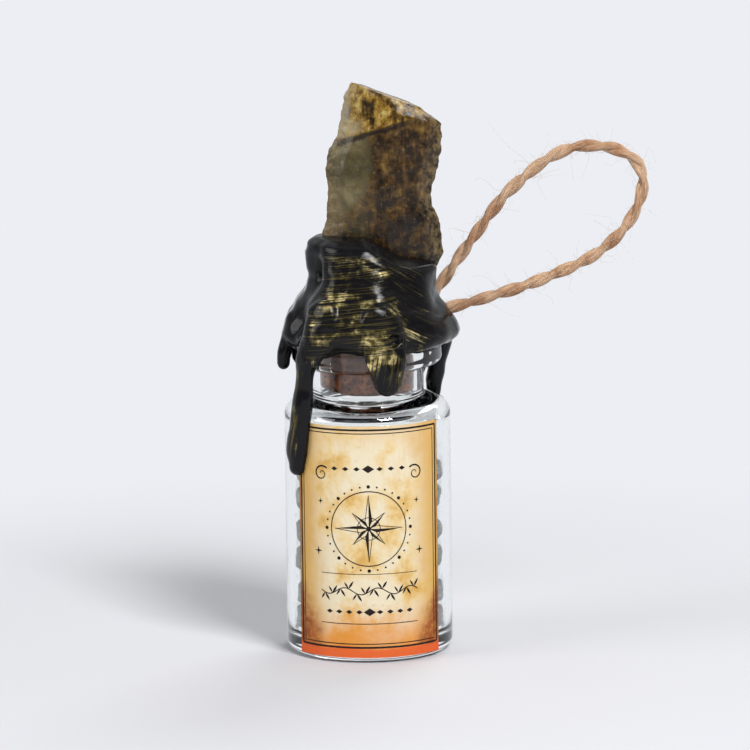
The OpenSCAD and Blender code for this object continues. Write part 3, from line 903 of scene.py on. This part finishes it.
def make_label():
    """The paper: a closed sheet bent round the glass, its outer face and inner face joined by its four edges."""
    columns, rows = 90, 60
    across, height = np.meshgrid(
        np.linspace(-LABEL_W / 2, LABEL_W / 2, columns), np.linspace(0, LABEL_H, rows), indexing="xy"
    )
    outer = on_label(across, height)
    inner = on_label(across, height, LABEL_IN_R - LABEL_R)
    worn = 0.05 * noise(np.stack([across, height, 0 * across], axis=-1), 0.7, 41)
    rim = (np.abs(across) > LABEL_W / 2 - 0.01) | (height < 0.01) | (height > LABEL_H - 0.01)
    squeeze = np.where(rim, np.abs(worn), 0)[..., None]
    middle = np.array([0, 0, LABEL_Z + LABEL_H / 2])
    outer = outer + (middle - outer) * [0, 0, 1] * squeeze / LABEL_H
    points = np.concatenate([outer.reshape(-1, 3), inner.reshape(-1, 3)])
    face = grid_faces(rows, columns, wrap=False)
    back = face[:, ::-1] + rows * columns
    edge = np.concatenate([
        np.arange(columns),
        np.arange(1, rows) * columns + columns - 1,
        (rows - 1) * columns + np.arange(columns - 2, -1, -1),
        np.arange(rows - 2, 0, -1) * columns,
    ])
    following = np.roll(edge, -1)
    shift = rows * columns
    rims = np.stack([following, edge, edge + shift, following + shift], axis=1)
    label = mesh_object("aged_label", points, np.concatenate([face, back, rims]), smooth=False)
    flat = np.stack([across / LABEL_W + 0.5, height / LABEL_H], axis=-1).reshape(-1, 2)
    set_uv(label, np.concatenate([flat, flat]))
    dress(label, label_material(), "paper", "paper_label")


def label_material():
    """Aged paper: cream with ochre stains, darker towards its edges, and orange-red along its foot and sides."""
    paint = Paint("aged paper")
    u, v, _ = paint.split(paint.uv())
    stain = paint.noise(170, 6, 0.62)
    speckle = paint.noise(1300, 4, 0.65)
    weave = paint.noise(1, 3, 0.6, paint.stretched((900, 900, 160)))
    cream = paint.ramp(stain, [(0.33, (0.64, 0.37, 0.09)), (0.42, (0.76, 0.57, 0.28)),
                               (0.52, (0.78, 0.69, 0.50))])
    side = paint.math("ABSOLUTE", paint.math("SUBTRACT", u, 0.5))
    ragged = paint.line(stain, 0.30, -0.15)
    outward = paint.sum(side, ragged)
    upward = paint.sum(v, ragged)
    spots = paint.line(paint.step(speckle, 0.3, 0.6), 0.5, 0.5)
    burnt = paint.both(paint.step(paint.line(v, -0.62, outward), 0.22, 0.38), spots)
    colour = paint.coats(
        cream,
        (paint.step(weave, 0.5, 0.75), 0.35, (0.70, 0.48, 0.20)),
        (paint.step(speckle, 0.58, 0.78), 0.4, (0.50, 0.27, 0.09)),
        (paint.step(outward, 0.23, 0.46), 0.9, (0.64, 0.36, 0.075)),
        (paint.step(paint.sum(side, paint.both(ragged, 0.3)), 0.465, 0.505), 0.8, (0.30, 0.11, 0.04)),
        (paint.step(upward, 0.26, 0.05), 0.9, (0.72, 0.27, 0.035)),
        (burnt, 0.95, (0.27, 0.055, 0.014)),
        (paint.step(paint.sum(v, paint.both(ragged, 0.15)), 0.055, 0.030), 0.9, (0.74, 0.115, 0.025)),
        (paint.step(upward, 0.88, 1.0), 0.45, (0.70, 0.42, 0.14)),
    )
    return paint.finish(
        Base_Color=colour,
        Roughness=0.72,
        Specular_IOR_Level=0.25,
        Normal=paint.bump(paint.noise(2600, 3), 0.15, 0.04),
    )


make_label()


def ribbon(line, width):
    """A flat stroke on the label: a line of (across, height) points given a width, as quads."""
    line = np.asarray(line, dtype=float)
    way = unit(np.gradient(line, axis=0))
    square = np.stack([-way[:, 1], way[:, 0]], axis=1)
    half = np.broadcast_to(np.asarray(width, dtype=float).reshape(-1, 1) / 2, (len(line), 1))
    points = np.stack([line - square * half, line + square * half], axis=1)
    return points.reshape(-1, 2), grid_faces(len(line), 2, wrap=False)


def straight(a, b, width, steps=60):
    """A straight stroke between two places."""
    t = np.linspace(0, 1, steps)[:, None]
    return ribbon(np.array(a) + (np.array(b) - np.array(a)) * t, width)


def circle(x, y, r, width):
    """A ring of one width."""
    return ribbon(arc(x, y, r, 0, 360, 72), width)


def disc(x, y, corners, spin=0.0):
    """A filled star or dot: its corners are radii at even angles. Its edges and the rings inside it are divided
    finely enough to bend with the paper."""
    radii = np.append(corners, corners[0])
    pieces = 1 + int(np.ptp(radii) / 0.35)
    at = np.linspace(0, len(corners), len(corners) * pieces, endpoint=False)
    angle = np.radians(spin) + np.linspace(0, 2 * np.pi, len(radii))
    waves = (np.cos(angle), np.sin(angle))
    rim = np.stack([np.interp(at, np.arange(len(radii)), radii * wave) for wave in waves], axis=1)
    rings = 3 + int(max(corners) / 0.35)
    points = np.array([x, y]) + np.linspace(0.001, 1, rings)[:, None, None] * rim
    return points.reshape(-1, 2), grid_faces(rings, len(rim))


def border_strokes():
    """Two frames of ruled lines, one inside the other."""
    out = []
    for inset, width in ((0.50, 0.26), (0.98, 0.13)):
        x = LABEL_W / 2 - inset
        low, high = inset + 0.9, LABEL_H - inset
        corners = [(-x, low), (x, low), (x, high), (-x, high)]
        for first, second in ((0, 1), (3, 2), (0, 3), (1, 2)):
            out.append(straight(corners[first], corners[second], width))
    return out


def wedge(x, y, tip, corner):
    """A filled triangle between a middle, a tip and an inner corner, the last two as (radius, degrees)."""
    ends = [(r * math.cos(math.radians(a)), r * math.sin(math.radians(a))) for r, a in (tip, corner)]
    t = np.linspace(0, 1, 14)[:, None, None]
    s = np.linspace(0, 1, 4)[None, :, None]
    points = np.array([x, y]) + t * ((1 - s) * ends[0] + s * ends[1])
    return points.reshape(-1, 2), grid_faces(14, 4, wrap=False)


def rosette_strokes(x, y):
    """A compass rose: eight spikes in two lengths, each half dark and half outlined, inside a dotted ring."""
    out = [circle(x, y, 5.0, 0.14), circle(x, y, 1.5, 0.10), disc(x, y, [0.35] * 10)]
    for k in range(8):
        tip = (4.5 if k % 2 == 0 else 3.0, 90 + k * 45)
        inner = 1.15 if k % 2 == 0 else 1.0
        out.append(wedge(x, y, tip, (inner, tip[1] - 24)))
        ends = [np.array([math.cos(math.radians(a)), math.sin(math.radians(a))]) * r + [x, y]
                for r, a in (tip, (inner, tip[1] + 24))]
        out.append(straight(ends[0], ends[1], 0.09))
    for k in range(32):
        a = math.radians(k * 360 / 32)
        size = 0.24 if k % 4 == 0 else 0.13
        out.append(disc(x + 5.65 * math.cos(a), y + 5.65 * math.sin(a), [size] * 10))
    return out


def leaf(x, y, length, spin):
    """A pointed leaf: two arcs that meet at its ends, filled."""
    t = np.linspace(0, 1, 12)
    wide = 0.22 * length * np.sin(np.pi * t)
    a = math.radians(spin)
    line = np.stack([x + length * t * math.cos(a), y + length * t * math.sin(a)], axis=1)
    return ribbon(line, wide + 0.01)


def vine_strokes(y):
    """A wavy stem from side to side, with leaves by turns above and below it."""
    x = np.linspace(-6.6, 6.6, 90)
    out = [ribbon(np.stack([x, y + 0.45 * np.sin(x * 1.43)], axis=1), 0.13)]
    for k in range(12):
        at = -6.05 + k * 1.1
        level = y + 0.45 * math.sin(at * 1.43)
        up = 1 if k % 2 else -1
        out.append(leaf(at, level, 1.25, up * 58))
        out.append(leaf(at, level, 1.05, 180 - up * 58))
    return out


def lozenge_row(y, count, pitch):
    """A row of lozenges, the middle one larger."""
    out = []
    for k in range(count):
        x = (k - (count - 1) / 2) * pitch
        size = 0.62 if k == count // 2 else 0.34
        out.append(disc(x, y, [size * 1.3, size * 0.85] * 2))
    return out


def scroll(x, y, flip):
    """A scroll: a spiral whose radius grows with its turn, swelling towards its outer end."""
    t = np.linspace(0, 1, 60)
    a = t * 2.3 * 2 * np.pi * 0.6
    r = 0.15 + 0.95 * t
    line = np.stack([x + flip * r * np.cos(a), y + r * np.sin(a)], axis=1)
    return ribbon(line, 0.08 + 0.16 * t)


def make_ink():
    """The print: every stroke laid on the paper as a thin raised skin, wrapped round with it and facing out."""
    strokes = border_strokes() + rosette_strokes(0, 17.4)
    strokes += vine_strokes(9.0) + lozenge_row(6.2, 9, 1.35) + lozenge_row(25.4, 7, 1.5)
    strokes += [straight((-6.6, 4.6), (6.6, 4.6), 0.10), straight((-6.6, 11.3), (6.6, 11.3), 0.08)]
    for flip in (-1, 1):
        strokes.append(scroll(flip * 6.4, 24.6, flip))
        strokes.append(disc(flip * 7.0, 14.2, [0.62, 0.16] * 4, 90))
        strokes.append(disc(flip * 6.6, 20.9, [0.42, 0.12] * 4, 90))
    parts = [(on_label(flat[:, 0], flat[:, 1], INK_T), faces) for flat, faces in strokes]
    points, faces = join_faces(parts)
    quads = np.array(faces)
    a, b, c, d = (points[quads[:, k]] for k in range(4))
    inward = (np.cross(c - a, d - b) * a * [1, 1, 0]).sum(axis=1) < 0
    quads[inward] = quads[inward][:, ::-1]
    ink = mesh_object("label_print", points, quads)
    paint = Paint("brown-black ink")
    worn = paint.ramp(paint.noise(1700, 4, 0.7), [(0.35, (0.010, 0.008, 0.009)), (0.75, (0.045, 0.032, 0.026))])
    dress(ink, paint.finish(Base_Color=worn, Roughness=0.8, Specular_IOR_Level=0.1), "paper")


make_ink()

# Cork stopper

CORK_FIT = 0.05
CORK_CHAMFER = 0.35
CORK_SIDES = 240


def make_cork():
    """The cork: a turned section with chamfers, roughened by pores and broken along its lower left edge."""
    low, high = (corner[2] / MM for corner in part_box("cork_stopper"))
    r = MOUTH_R - CORK_FIT
    flat = r - CORK_CHAMFER
    section = divided(np.array([[POLE_R, low], [flat, low], [r, low + CORK_CHAMFER], [r, high - CORK_CHAMFER],
                                [flat, high], [POLE_R, high]]), 0.09)
    points = revolve(section, CORK_SIDES)
    azimuth = np.degrees(turn_of(points))
    pits = smooth_step(rough(points, 0.8, 3, 51), 0.35, 0.8) * 0.22
    torn = np.exp(-(((azimuth + 58) / 24) ** 2)) * (1.5 + 0.5 * rough(points, 1.2, 3, 52))
    bite = smooth_step(torn - (points[..., 2] - low), 0.0, 0.9) * 1.1
    points = squeezed(points, 1 - (pits + bite + 0.01) / r)
    cork = mesh_object("cork_plug", points, closed_faces(len(section), CORK_SIDES))
    dress(cork, cork_material(), "cork", "cork_stopper")


def cork_material():
    """Red-brown cork with dark pores, and painted shade on its upper part, inside the lip and under the wax cap.
    """
    paint = Paint("red-brown cork")
    grain = paint.noise(700, 6, 0.65)
    tone = paint.ramp(grain, [(0.34, (0.030, 0.008, 0.002)), (0.50, (0.21, 0.055, 0.012)),
                              (0.66, (0.47, 0.16, 0.045))])
    pores = paint.ramp(paint.cells(1100), [(0.10, 0.0), (0.28, 1.0)])
    tone = paint.mix(pores, (0.03, 0.012, 0.008), tone)
    _, _, z = paint.millimetres()
    # Painted shade: the cork darkened from 37.6 mm up, inside the glass lip and under the overhanging wax
    tone = paint.coats(tone, (paint.step(z, 37.6, 38.8), 0.6, (0.040, 0.020, 0.008)))
    return paint.finish(Base_Color=tone, Roughness=0.85, Normal=paint.bump(grain, 0.6, 0.25))


make_cork()

# Stone chips

CHIP_VOXEL = 0.24
CHIP_CLEAR = 0.05


def chip_material():
    """Rough stone: greys and grey-greens that change from chip to chip, mottled by fine grain."""
    paint = Paint("grey stone chips")
    by_chip = paint.noise(240, 1, 0.4)
    tone = paint.ramp(by_chip, [(0.30, (0.10, 0.095, 0.085)), (0.45, (0.30, 0.30, 0.27)),
                                (0.58, (0.20, 0.235, 0.21)), (0.74, (0.46, 0.46, 0.41))])
    grain = paint.noise(1500, 5, 0.7)
    tone = paint.mix(0.8, tone, paint.ramp(grain, [(0.3, 0.45), (0.7, 1.15)]), "MULTIPLY")
    return paint.finish(Base_Color=tone, Roughness=0.7, Normal=paint.bump(grain, 0.7, 0.3))


def make_chips():
    """Each layer's chips: a copy of their solids, evenly remeshed, roughened by noise, and kept off the glass."""
    material = chip_material()
    for name in sorted(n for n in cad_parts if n.startswith("stone_chips")):
        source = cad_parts[name]
        chips = bpy.data.objects.new("broken_" + name, source.data.copy())
        bpy.context.scene.collection.objects.link(chips)
        weld = chips.modifiers.new("weld", "WELD")
        weld.merge_threshold = 0.001 * MM
        apply_modifiers(chips)
        remesh(chips, CHIP_VOXEL)
        relax(chips, 0.5, 2)
        points = mesh_points(chips)
        low, high = points[:, 2].min(), points[:, 2].max()
        points = points + mesh_normals(chips) * (0.20 + 0.22 * rough(points, 1.5, 3, 61))[:, None]
        room = (BODY_R - WALL - CHIP_CLEAR) / np.maximum(reach_of(points), 0.01)
        points = squeezed(points, np.minimum(1, room))
        points[:, 2] = np.clip(points[:, 2], low, high)
        set_points(chips, points)
        dress(chips, material, "stone", name)


make_chips()

# Floor, world and lamps

BACKGROUND = (0.838, 0.855, 0.896)
FLOOR_SIDES = 96
FLOOR_GAP = 0.02


def make_floor():
    """A wide disc: lit paper near the object, turning into the plain background colour further out. Glass and
    gloss show most of that colour on all of it."""
    t = np.linspace(0, 2 * np.pi, FLOOR_SIDES, endpoint=False)
    radii = np.array([0.001, 20, 60, 120, 300, 1500])[:, None]
    points = np.stack([radii * np.cos(t), radii * np.sin(t), 0 * radii * t - FLOOR_GAP], axis=-1)
    floor = mesh_object("floor", points, grid_faces(len(radii), FLOOR_SIDES)[:, ::-1])
    paint = Paint("pale floor")
    paint.finish(Base_Color=(0.56, 0.56, 0.585), Roughness=0.9)
    distance = paint.node("ShaderNodeVectorMath", {0: paint.place}, operation="LENGTH")
    far = paint.step(distance.outputs["Value"], 0.045, 0.13)
    rays = paint.node("ShaderNodeLightPath").outputs
    bounced = paint.math("ADD", rays["Is Transmission Ray"], rays["Is Glossy Ray"], clamp=True)
    plain = paint.math("MAXIMUM", paint.both(far, rays["Is Camera Ray"]), paint.both(bounced, 0.85))
    flat = paint.node("ShaderNodeEmission", {"Color": (*BACKGROUND, 1), "Strength": 1.0})
    blend = paint.node("ShaderNodeMixShader", {0: plain, 1: paint.shader.outputs[0], 2: flat.outputs[0]})
    paint.feed(paint.tree.nodes["Material Output"].inputs["Surface"], blend.outputs[0])
    floor.data.materials.append(paint.material)


def make_world():
    """Soft light that grows from the front to the back, and the plain background colour where it is seen
    directly or through the glass."""
    world = bpy.data.worlds.new("studio")
    bpy.context.scene.world = world
    world.use_nodes = True
    sky = Nodes(world.node_tree)
    sky.tree.nodes.clear()
    _, back, _ = sky.split(sky.node("ShaderNodeTexCoord").outputs["Generated"])
    strength = sky.step(back, -0.5, 0.6, 0.10, 0.62)
    light = sky.node("ShaderNodeBackground", {"Color": (0.95, 0.97, 1.0, 1), "Strength": strength})
    seen = sky.node("ShaderNodeBackground", {"Color": (*BACKGROUND, 1), "Strength": 1.0})
    rays = sky.node("ShaderNodeLightPath").outputs
    shown = sky.math("ADD", rays["Is Camera Ray"], rays["Is Transmission Ray"], clamp=True)
    mix = sky.node("ShaderNodeMixShader", {0: shown, 1: light.outputs[0], 2: seen.outputs[0]})
    sky.node("ShaderNodeOutputWorld", {"Surface": mix.outputs[0]})


def lamp(name, place, size, power, target=(0, 0, 0.04)):
    """A square softbox at a place in metres, facing the target."""
    data = bpy.data.lights.new(name, "AREA")
    data.size = size
    data.energy = power
    made = bpy.data.objects.new(name, data)
    bpy.context.scene.collection.objects.link(made)
    made.location = place
    way = np.array(target) - np.array(place)
    made.rotation_mode = "XYZ"
    made.rotation_euler = (math.acos(-way[2] / np.linalg.norm(way)), 0, math.atan2(-way[0], way[1]))


make_floor()
make_world()
lamp("key_softbox", (0.24, -0.42, 0.55), 0.20, 5.2)
lamp("left_softbox", (-0.55, -0.22, 0.32), 0.34, 1.6)
lamp("back_softbox", (0.20, 0.45, 0.45), 0.30, 1.6)

bpy.context.scene.view_settings.view_transform = "Standard"
